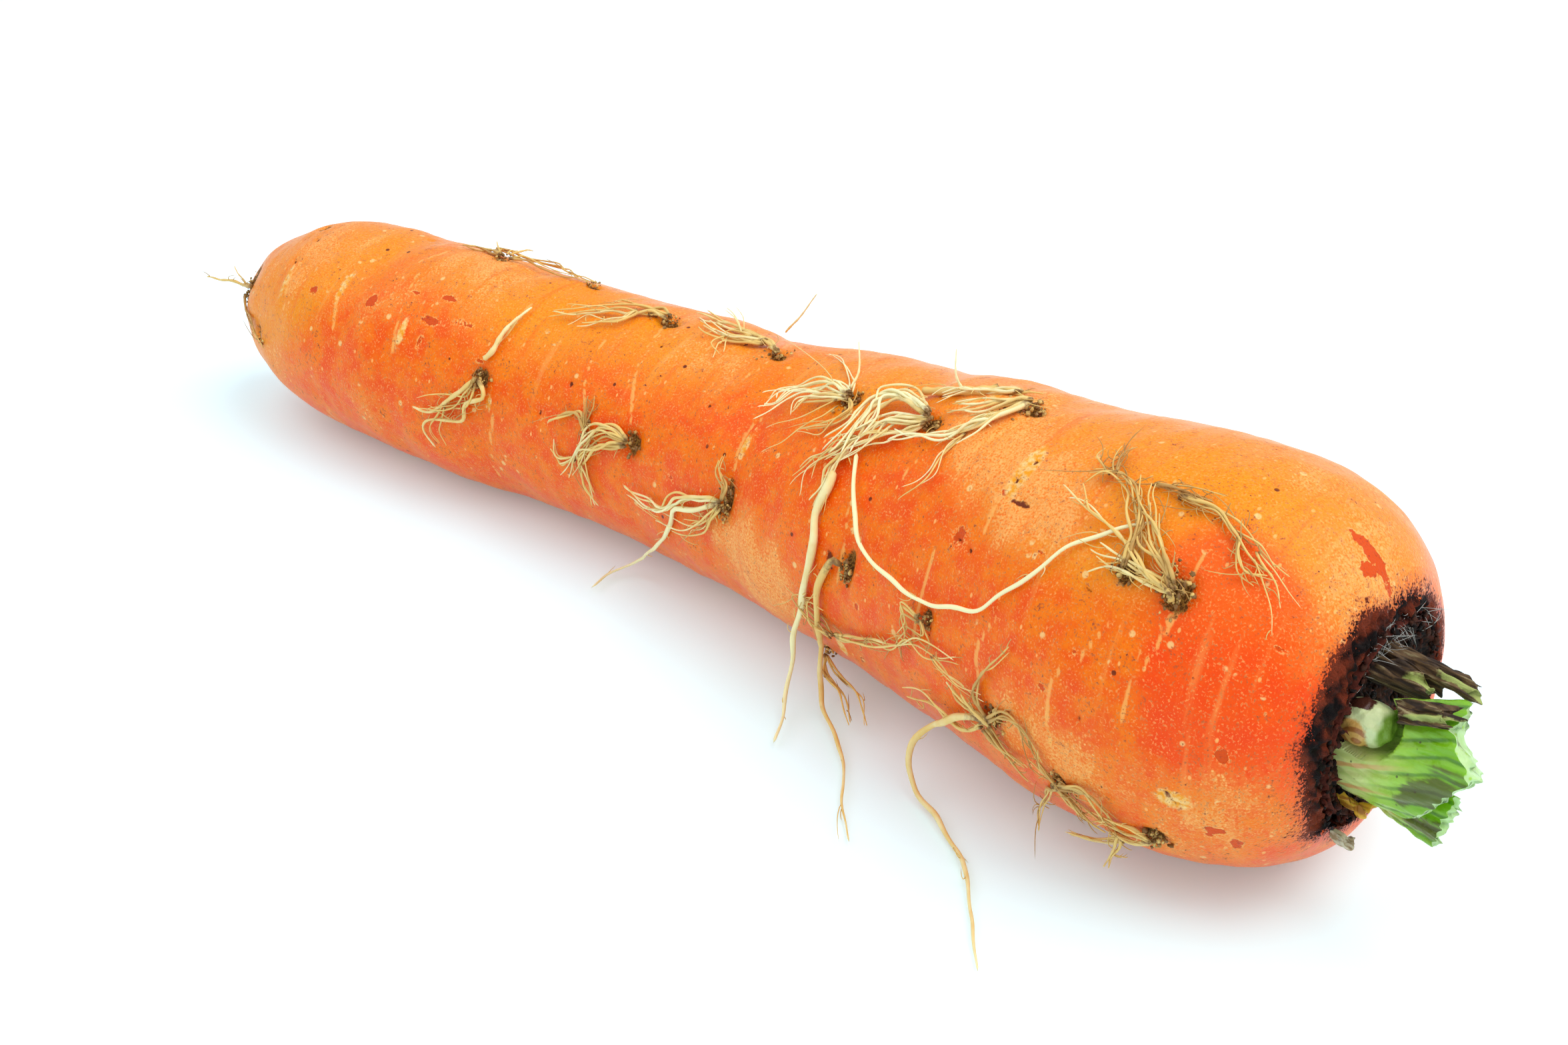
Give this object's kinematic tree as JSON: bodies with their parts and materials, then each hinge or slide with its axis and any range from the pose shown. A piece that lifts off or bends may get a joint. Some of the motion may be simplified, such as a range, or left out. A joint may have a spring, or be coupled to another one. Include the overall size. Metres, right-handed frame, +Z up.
{
  "type": "carrot",
  "caption": "Fresh tapering taproot lying on its side, with cut leaf stalks at the crown and fine side roots clinging to the skin.",
  "frame": {"origin": "on the flattened resting strip of the underside, below the middle of the root's length", "axes": "+X along the root from its blunt tip towards the crown and its leaf stalks, +Z up from the resting strip"},
  "size_m": [0.2106, 0.0629, 0.0468],
  "materials": {
    "root_skin": "moist orange skin with a pale dry film, fine cross scars and speckles",
    "cork": "dark crumbly cork and soil",
    "green_stalk": "ribbed, pale at the base and bright green at the cut",
    "bud_scale": "smooth cream scale with an amber fold",
    "dry_stalk": "dry fibrous brown",
    "papery_scale": "thin dry papery",
    "rootlet": "dry cream to tan root fibre"
  },
  "bodies": {
    "root": {"taproot": "root_skin", "crown_scar": "cork", "leaf_bud": "bud_scale", "leaf_stalk_main": "green_stalk", "leaf_stalk_under": "green_stalk", "dry_stalk_top": "dry_stalk", "dry_stalk_stub": "dry_stalk", "dry_stalk_side": "dry_stalk", "papery_scale": "papery_scale", "clear_scale": "papery_scale", "rootlet_tip_trailing": "rootlet", "rootlet_tip_clinging": "rootlet", "rootlet_back": "rootlet", "rootlet_flank_pale": "rootlet", "rootlets_flank_forked": "rootlet", "rootlets_waist": "rootlet", "rootlets_ridge_left": "rootlet", "rootlets_ridge_right": "rootlet", "rootlet_hair_back": "rootlet", "rootlets_hip": "rootlet", "rootlets_mat_left": "rootlet", "rootlets_mat_upper": "rootlet", "rootlets_mat_middle": "rootlet", "rootlets_mat_right": "rootlet", "rootlet_long": "rootlet", "rootlet_loop": "rootlet", "rootlet_hooked": "rootlet", "rootlets_net": "rootlet", "rootlets_fan": "rootlet", "rootlet_fan_branch": "rootlet", "rootlets_star": "rootlet", "rootlets_belly": "rootlet", "rootlets_shoulder_left": "rootlet", "rootlets_shoulder_right": "rootlet"}
  },
  "joints": []
}
